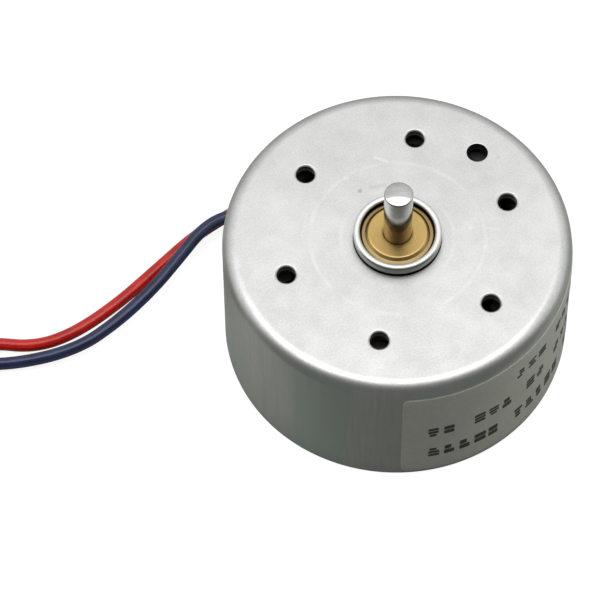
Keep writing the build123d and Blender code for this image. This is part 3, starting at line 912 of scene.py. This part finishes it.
def print_mesh():
    """Rows of short blank dashes where a maker's print would stand, a plus, a minus and an arrow."""
    parts = []
    to_deg = 180 / math.pi / 12.27
    rng = random.Random(7)
    rows = [
        # middle height, mark height, start angle, number of marks, places left empty
        (-9.1, 1.3, -100.6, 17, (5, 11)),
        (-6.2, 1.15, -100.9, 13, (2, 6, 9)),
        (-3.4, 1.0, -68.6, 9, (3,)),
        (-1.95, 0.35, -69.0, 0, ()),
    ]
    for z, height, start, count, empty in rows:
        for n in range(count):
            if n in empty:
                continue
            a = start + 5.35 * n
            width = 0.74 + 0.20 * rng.random()
            tall = height * (0.84 + 0.16 * rng.random())
            bars = rng.choice((2, 3, 3))
            gap = 0.11
            each = (tall - gap * (bars - 1)) / bars
            for b in range(bars):
                w = width * (1 if rng.random() < 0.65 else 0.66)
                shift = (width - w) * rng.random()
                parts.append(bar(a + shift * to_deg, z - tall / 2 + each / 2 + b * (each + gap), w, each, 0.09))
    # plus and minus near the far end
    to_deg = 180 / math.pi / 12.27
    for a, z in ((12.0, -9.0),):
        h, w = 0.62, 0.17
        cross = [(-w, -h), (w, -h), (w, -w), (h, -w), (h, w), (w, w), (w, h), (-w, h), (-w, w), (-h, w), (-h, -w), (-w, -w)]
        parts.append(on_label([(a + x * to_deg, z + y) for x, y in cross]))
    parts.append(bar(12.0 - 0.62 * to_deg, -4.0, 1.24, 0.34, 0.05))
    # turning arrow: a three-quarter ring with a head
    centre, z, r0, r1 = 22.0, -6.5, 1.25, 1.6
    outline = [(centre + r1 * cos(rad(t)) * to_deg, z + r1 * sin(rad(t))) for t in range(-40, 201, 12)]
    t = 200
    head = [(r1 + 0.32, t), ((r0 + r1) / 2, t + 26), (r0 - 0.32, t)]
    outline += [(centre + r * cos(rad(b)) * to_deg, z + r * sin(rad(b))) for r, b in head]
    outline += [(centre + r0 * cos(rad(t)) * to_deg, z + r0 * sin(rad(t))) for t in range(200, -41, -12)]
    parts.append(on_label(outline))
    return join(*parts)


ink = grained("label_ink", (0.030, 0.034, 0.028), (0.065, 0.068, 0.058), 0.0, (0.5, 0.62), 6000)
build("label_bars", *print_mesh(), ink, "stator", angle=40, merge=0.00005, slot="label_foil")


# ------------------------------------------------------------------ rear: end cap, bearing, terminals
def end_cap_mesh():
    n = 144
    rim_low = [(11.38, -10.34), (11.38, -11.40), (11.35, -11.47), (11.28, -11.5)]
    profile_outer = [(11.34, -10.3)] + rim_low
    verts, faces = [], []

    def turned(profile, count=n):
        return lathe(profile, count, closed=False)

    slots = []
    for i in range(3):
        a = rad(TERMINAL + 90 + 90 * i)
        loop = []
        for end in (0, 1):
            for j in range(9):
                t = rad(-90 + 180 * j / 8 + 180 * end)
                along = (1.3 if end == 0 else -1.3) + 0.7 * cos(t)
                across = 0.7 * sin(t)
                # the slots follow the cap's rim
                b = a + along / 7.6
                loop.append(((7.6 + across) * cos(b), (7.6 + across) * sin(b)))
        slots.append(loop)
    outer = ring(11.28, n)
    inner = ring(4.12, n)
    fill = fill_points(4.12, 11.28, 0.9, [])

    def clear(p):
        return all(math.dist(p, q) > 0.25 for s in slots for q in s) and not any(
            abs(math.hypot(*p) - 7.6) < 0.9 and abs((math.atan2(p[1], p[0]) - rad(TERMINAL + 90 + 90 * i) + math.pi) % (2 * math.pi) - math.pi) < 2.2 / 7.6
            for i in range(3)
        )

    fill = [p for p in fill if clear(p)]
    parts = [sheet_between(outer, [inner] + slots, fill, -11.5)]
    for loop in slots:
        m = len(loop)
        cx, cy = sum(p[0] for p in loop) / m, sum(p[1] for p in loop) / m
        levels = [(1.0, -11.5), (0.97, -11.47), (0.95, -11.16), (0.90, -11.11), (0.84, -11.1)]
        v = [(cx + (x - cx) * s, cy + (y - cy) * s, z) for s, z in levels for x, y in loop]
        f = []
        for j in range(len(levels) - 1):
            for i in range(m):
                k = (i + 1) % m
                f.append([j * m + i, j * m + k, (j + 1) * m + k, (j + 1) * m + i])
        f.append([(len(levels) - 1) * m + i for i in range(m)])
        parts.append((v, f))
    # rear boss, its stepped mouth, and the seat of the bearing
    boss = [(4.12, -11.5), (4.04, -11.53), (4.0, -11.6), (4.0, -11.82), (3.97, -11.88), (3.9, -11.9), (2.12, -11.9), (2.03, -11.88), (1.98, -11.82), (1.96, -11.7), (1.96, -11.5), (2.11, -11.5), (2.11, -9.99), (2.16, -9.95), (3.12, -9.95), (3.18, -9.98), (3.2, -10.05), (3.2, -10.3), (11.34, -10.3)]
    parts.append(turned(boss))
    parts.append(turned(profile_outer))
    # stiffening ribs on the inside
    for i in range(8):
        a = rad(TERMINAL + 45 + 45 * i)
        if abs(((math.degrees(a) - TERMINAL + 180) % 360) - 180) < 40:
            continue
        rib = soft_box((3.3, 10.6), (-0.35, 0.35), (-10.34, -9.95), 0.08)
        parts.append(at(rib, lambda x, y, z, a=a: (x * cos(a) - y * sin(a), x * sin(a) + y * cos(a), z)))
    # terminal block: a stepped body with a lead-in for each tab
    block = soft_box((-3.2, 3.2), (8.8, 12.33), (-11.48, -10.83), 0.10)
    parts.append(at(block, local))
    for x0, x1 in ((-3.2, -2.04), (-0.86, 0.86), (2.04, 3.2)):
        parts.append(at(soft_box((x0, x1), (8.9, 12.33), (-10.95, -9.32), 0.09), local))
    parts.append(at(soft_box((-3.18, 3.18), (8.9, 11.2), (-10.47, -9.36), 0.09), local))
    return join(*parts)


def cap_plastic():
    k = Mat("cap_plastic", 0.0, IOR=1.5)
    spark = k.noise(9000, 3.0, 0.6)
    flow = k.noise(260, 3.0, 0.5, distortion=1.2)
    wear = k.step(k.noise(2200, 3.0, 0.65), 0.62, 0.72)
    colour = k.mix(k.line(flow, 0.3, 0.7), (0.016, 0.017, 0.018), (0.028, 0.029, 0.031))
    colour = k.mix(k.math("MULTIPLY", wear, 0.25), colour, (0.09, 0.09, 0.09))
    return k.finish(colour, k.line(spark, 0.3, 0.7, 0.46, 0.62), k.bump(spark, 0.00002, 0.6))


plastic = cap_plastic()
build("rear_cover", *end_cap_mesh(), plastic, "stator", angle=35, replaces=("end_cap",), slot="cap_plastic")

tin_bright = grained("tinned_brass", (0.52, 0.50, 0.45), (0.70, 0.68, 0.62), 1.0, (0.25, 0.4), 3000)
for name, s in (("positive", 1), ("negative", -1)):
    w, x0 = 0.55, s * 1.45
    outline = [(x0 - w, 7.4), (x0 + w, 7.4), (x0 + w, 12.7)]
    outline += [(x0 + w - 0.28 + 0.28 * cos(rad(t)), 12.82 + 0.28 * sin(rad(t))) for t in (0, 22, 45, 68, 90)]
    outline += [(x0 - w + 0.28 + 0.28 * cos(rad(t)), 12.82 + 0.28 * sin(rad(t))) for t in (90, 112, 135, 158, 180)]
    outline += [(x0 - w, 12.7)]
    eye = [(x0 + 0.2 * cos(rad(t)), 12.4 + 0.2 * sin(rad(t))) for t in range(0, 360, 30)]
    tab = prism(outline, -10.8, -10.5, 0.05, 2, [eye])
    arm = soft_box((s * 2.0 - 0.85, s * 2.0 + 0.85), (7.4, 8.6), (-10.79, -10.51), 0.05)
    build(f"{name}_tab", *at(join(tab, arm), local), tin_bright, "stator", replaces=(f"{name}_terminal",), slot="tinned_brass")


def blob(centre, radii, seed, lobes=0.08, rows=20, cols=32):
    """A lumpy half-flowed drop of solder."""
    verts, faces = [], []
    for j in range(rows + 1):
        t = math.pi * j / rows
        for i in range(cols):
            p = 2 * math.pi * i / cols
            d = Vector((sin(t) * cos(p), sin(t) * sin(p), cos(t)))
            k = 1 + lobes * noise.noise(d * 1.7 + Vector((seed, 0, 0))) * 2
            skirt = 1 + 0.22 * max(0.0, -d.z) ** 2
            z = d.z * radii[2] * k
            verts.append((centre[0] + d.x * radii[0] * k * skirt, centre[1] + d.y * radii[1] * k * skirt, centre[2] + max(z, -0.32 * radii[2])))
    for j in range(rows):
        for i in range(cols):
            n = (i + 1) % cols
            faces.append([j * cols + i, j * cols + n, (j + 1) * cols + n, (j + 1) * cols + i])
    return verts, faces


solder = grained("solder", (0.55, 0.56, 0.57), (0.74, 0.75, 0.76), 1.0, (0.16, 0.34), 2200, 0.00002)


def strands(start, direction, length, material_name_seed, count=7, wire=0.1, lay=0.2, turns=1.6, taper=0.0):
    """Twisted strands: tubes along helices about a straight line."""
    d = Vector(direction).normalized()
    u = d.cross(Vector((0, 0, 1))).normalized()
    w = d.cross(u).normalized()
    parts = []
    rings, around = 40, 10
    for s in range(count):
        verts, faces = [], []
        centre_strand = s == count - 1
        for j in range(rings + 1):
            t = j / rings
            a = 2 * math.pi * (s / (count - 1) + turns * t)
            spread = 0.0 if centre_strand else lay * (1 - taper * t)
            c = Vector(start) + d * (length * t) + (u * cos(a) + w * sin(a)) * spread
            end = min(1.0, math.sqrt(max(0.0, 1 - ((max(0.0, t - 0.97)) / 0.03) ** 2)) + 0.15)
            for i in range(around):
                b = 2 * math.pi * i / around
                verts.append(tuple(c + (u * cos(b) + w * sin(b)) * wire * end))
        for j in range(rings):
            for i in range(around):
                n = (i + 1) % around
                faces.append([j * around + i, j * around + n, (j + 1) * around + n, (j + 1) * around + i])
        faces.append(list(range(around)))
        faces.append([rings * around + i for i in range(around)])
        parts.append((verts, faces))
    return join(*parts)


tinned = grained("tinned_copper", (0.56, 0.50, 0.44), (0.78, 0.75, 0.70), 1.0, (0.22, 0.38), 5000)
for name, tail in (("blue", BLUE_TAIL), ("red", RED_TAIL)):
    end = Vector(tail[-1])
    along = end - Vector(tail[-2])
    along = Vector((along.x, along.y, -along.length * 0.05)).normalized()
    build(
        f"{name}_strands", *strands(tuple(end - along * 0.3), along, 3.25, 0), tinned, "stator", angle=60,
        merge=0.00001, replaces=(f"{name}_lead_tip",), slot="tinned_copper",
    )
for name, s, seed, start in (("positive", 1, 3.0, RED_ROUTE), ("negative", -1, 8.0, BLUE_ROUTE)):
    at_tab = Vector(local(s * 1.45, 12.92, -10.36))
    top = Vector(start[0])
    drop = blob((s * 1.45, 12.86, -10.44), (0.44, 0.50, 0.34), seed)
    parts = [at(drop, local)]
    run = top - at_tab
    parts.append(strands(tuple(at_tab), run, max(0.3, run.length + 0.2), seed, wire=0.085, lay=0.16, turns=0.4))
    build(f"{name}_solder_drop", *join(*parts), solder, "stator", angle=60, merge=0.00001, replaces=(f"{name}_solder_joint",), slot="solder")

# cords take their place in the frame
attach(blue_cord, "stator")
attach(red_cord, "stator")
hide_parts("blue_lead", "blue_lead_tail", "lead_coil")
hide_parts("red_lead", "red_lead_tail", "lead_coil")

# ------------------------------------------------------------------ carried-over CAD nodes
magnet = grained("ferrite", (0.035, 0.035, 0.037), (0.075, 0.075, 0.078), 0.0, (0.55, 0.75), 5000, 0.00003)
core = grained("silicon_steel", (0.22, 0.23, 0.25), (0.34, 0.35, 0.37), 1.0, (0.35, 0.5), 2500)
nylon = grained("nylon", (0.72, 0.70, 0.62), (0.82, 0.80, 0.72), 0.0, (0.4, 0.55), 2500)
strip = grained("spring_strip", (0.50, 0.36, 0.20), (0.66, 0.49, 0.28), 1.0, (0.25, 0.4), 4000)
rubber = grained("rubber", (0.018, 0.018, 0.018), (0.035, 0.035, 0.035), 0.0, (0.7, 0.85), 5000, 0.00002)
film = grained("insulator", (0.66, 0.63, 0.50), (0.78, 0.75, 0.62), 0.0, (0.45, 0.6), 2500)
hub = grained("hub_plastic", (0.60, 0.56, 0.44), (0.72, 0.68, 0.55), 0.0, (0.45, 0.6), 2500)
copper = grained("copper", (0.55, 0.24, 0.12), (0.72, 0.36, 0.20), 1.0, (0.2, 0.32), 4000)
ceramic = grained("varistor", (0.10, 0.09, 0.085), (0.17, 0.16, 0.15), 0.0, (0.5, 0.7), 6000)
rear_bronze = grained("rear_bronze", (0.44, 0.30, 0.15), (0.58, 0.41, 0.21), 1.0, (0.28, 0.42), 8000)


def enamel():
    k = Mat("enamelled_copper", 0.35, Coat_Weight=0.6, Coat_Roughness=0.12)
    across = k.math("SINE", k.math("MULTIPLY", k.z, 2 * math.pi / 0.00019))
    weave = k.noise(3500, 3.0, 0.6)
    lines = k.math("ADD", k.math("MULTIPLY", across, 0.35), k.math("MULTIPLY", weave, 0.8))
    colour = k.mix(k.line(lines, -0.1, 0.9), (0.20, 0.05, 0.014), (0.50, 0.17, 0.05))
    return k.finish(colour, k.line(weave, 0.3, 0.7, 0.28, 0.42), k.bump(lines, 0.00004, 0.7))


winding = enamel()
given = {
    "rear_bush": rear_bronze, "thrust_plate": nylon, "ring_magnet": magnet,
    "positive_brush": strip, "negative_brush": strip,
    "positive_brush_damper": rubber, "negative_brush_damper": rubber,
    "core_laminations": core, "front_core_insulator": film, "rear_core_insulator": film,
    "coil_a": winding, "coil_b": winding, "coil_c": winding,
    "commutator_hub": hub, "commutator_segments": copper,
    "varistor_disc": ceramic, "varistor_solder": solder,
    "shaft_spacer": nylon, "front_thrust_washer": nylon, "rear_thrust_washer": nylon,
}
for name, material in given.items():
    o = nodes[name]
    if not o.material_slots:
        o.data.materials.append(material)
    for s in o.material_slots:
        s.material = material

# ------------------------------------------------------------------ studio
floor_mesh = bpy.data.meshes.new("floor")
size = 1.5
floor_mesh.from_pydata([(-size, -size, -0.01201), (size, -size, -0.01201), (size, size, -0.01201), (-size, size, -0.01201)], [], [(0, 1, 2, 3)])
floor = bpy.data.objects.new("floor", floor_mesh)
scene.collection.objects.link(floor)
paper = bpy.data.materials.new("studio_paper")
paper.use_nodes = True
t = paper.node_tree
for n in list(t.nodes):
    t.nodes.remove(n)
out = t.nodes.new("ShaderNodeOutputMaterial")
path = t.nodes.new("ShaderNodeLightPath")
matte = t.nodes.new("ShaderNodeBsdfDiffuse")
# painted shadow: the paper that the motor's wall mirrors is darker on the camera's side
place_on = t.nodes.new("ShaderNodeTexCoord")
depth_on = t.nodes.new("ShaderNodeVectorMath")
depth_on.operation = "DOT_PRODUCT"
depth_on.inputs[1].default_value = AWAY
t.links.new(place_on.outputs["Object"], depth_on.inputs[0])
shade = t.nodes.new("ShaderNodeMapRange")
shade.interpolation_type = "SMOOTHSTEP"
shade.inputs["From Min"].default_value = -0.0175
shade.inputs["From Max"].default_value = -0.008
t.links.new(depth_on.outputs["Value"], shade.inputs["Value"])
tones = t.nodes.new("ShaderNodeMix")
tones.data_type = "RGBA"
t.links.new(shade.outputs[0], tones.inputs[0])
tones.inputs[6].default_value = (0.20, 0.203, 0.19, 1)
tones.inputs[7].default_value = (0.43, 0.44, 0.415, 1)
t.links.new(tones.outputs[2], matte.inputs["Color"])
seen = t.nodes.new("ShaderNodeBsdfDiffuse")
seen.inputs["Color"].default_value = (0.25, 0.25, 0.25, 1)
glow = t.nodes.new("ShaderNodeEmission")
glow.inputs["Color"].default_value = (1.0, 1.0, 1.0, 1)
glow.inputs["Strength"].default_value = 0.90
both = t.nodes.new("ShaderNodeAddShader")
t.links.new(seen.outputs[0], both.inputs[0])
t.links.new(glow.outputs[0], both.inputs[1])
pick = t.nodes.new("ShaderNodeMixShader")
t.links.new(path.outputs["Is Camera Ray"], pick.inputs[0])
t.links.new(matte.outputs[0], pick.inputs[1])
t.links.new(both.outputs[0], pick.inputs[2])
t.links.new(pick.outputs[0], out.inputs[0])
floor.data.materials.append(paper)

world = bpy.data.worlds.new("studio")
scene.world = world
world.use_nodes = True
w = world.node_tree
for n in list(w.nodes):
    w.nodes.remove(n)


def wnode(kind, **attributes):
    n = w.nodes.new(kind)
    for key, value in attributes.items():
        setattr(n, key, value)
    return n


def wmath(op, a, b=None):
    n = wnode("ShaderNodeMath", operation=op)
    for socket, value in zip(n.inputs, (a, b)):
        if value is None:
            continue
        if isinstance(value, bpy.types.NodeSocket):
            w.links.new(value, socket)
        else:
            socket.default_value = value
    return n.outputs[0]


direction = wnode("ShaderNodeTexCoord").outputs["Generated"]


def toward(azimuth_vector, elevation_deg):
    """Cosine between the sky direction and one fixed direction of the room."""
    e = rad(elevation_deg)
    v = azimuth_vector * cos(e) + Vector((0, 0, sin(e)))
    n = wnode("ShaderNodeVectorMath", operation="DOT_PRODUCT")
    w.links.new(direction, n.inputs[0])
    n.inputs[1].default_value = v
    return n.outputs["Value"]


def curve(value, stops):
    n = wnode("ShaderNodeValToRGB")
    w.links.new(value, n.inputs[0])
    e = n.color_ramp.elements
    while len(e) > 1:
        e.remove(e[0])
    e[0].position, e[0].color = stops[0][0], (stops[0][1],) * 3 + (1,)
    for p, c in stops[1:]:
        x = e.new(p)
        x.color = (c,) * 3 + (1,)
    n.color_ramp.interpolation = "EASE"
    return n.outputs[0]


# brightness of the room, from behind the motor (0) over the top (0.5) to the camera (1)
up = toward(Vector((0, 0, 0)), 90)
back = toward(AWAY, 0)
angle = wmath("DIVIDE", wmath("ARCTAN2", up, back), math.pi)
sky = curve(angle, [(0.0, 0.40), (0.12, 0.50), (0.25, 0.64), (0.33, 0.71), (0.40, 0.80), (0.55, 0.85), (0.585, 0.7), (0.62, 0.14), (0.9, 0.10), (1.0, 0.14)])
background = wnode("ShaderNodeBackground")
w.links.new(sky, background.inputs["Color"])
background.inputs["Strength"].default_value = 1.25
white = wnode("ShaderNodeBackground")
white.inputs["Color"].default_value = (1, 1, 1, 1)
white.inputs["Strength"].default_value = 1.0
world_path = wnode("ShaderNodeLightPath")
world_mix = wnode("ShaderNodeMixShader")
w.links.new(world_path.outputs["Is Camera Ray"], world_mix.inputs[0])
w.links.new(background.outputs[0], world_mix.inputs[1])
w.links.new(white.outputs[0], world_mix.inputs[2])
world_out = wnode("ShaderNodeOutputWorld")
w.links.new(world_mix.outputs[0], world_out.inputs[0])

# a wide soft box over the motor, its far edge just behind it
near_edge, far_edge, half_width, height = -46, 50, 112, 150
box = bpy.data.lights.new("soft_box", "AREA")
box.shape = "RECTANGLE"
box.size, box.size_y = 2 * half_width * MM, (far_edge - near_edge) * MM
box.energy = 4 * box.size * box.size_y * 1.32
box_light = bpy.data.objects.new("soft_box", box)
scene.collection.objects.link(box_light)
box_light.matrix_world = Matrix.Translation((AWAY * (near_edge + far_edge) / 2 - RIGHT * 34 + Vector((0, 0, height))) * MM) @ spin.to_4x4()
box_light.visible_camera = False

scene.view_settings.view_transform = "Standard"
scene.view_settings.look = "None"
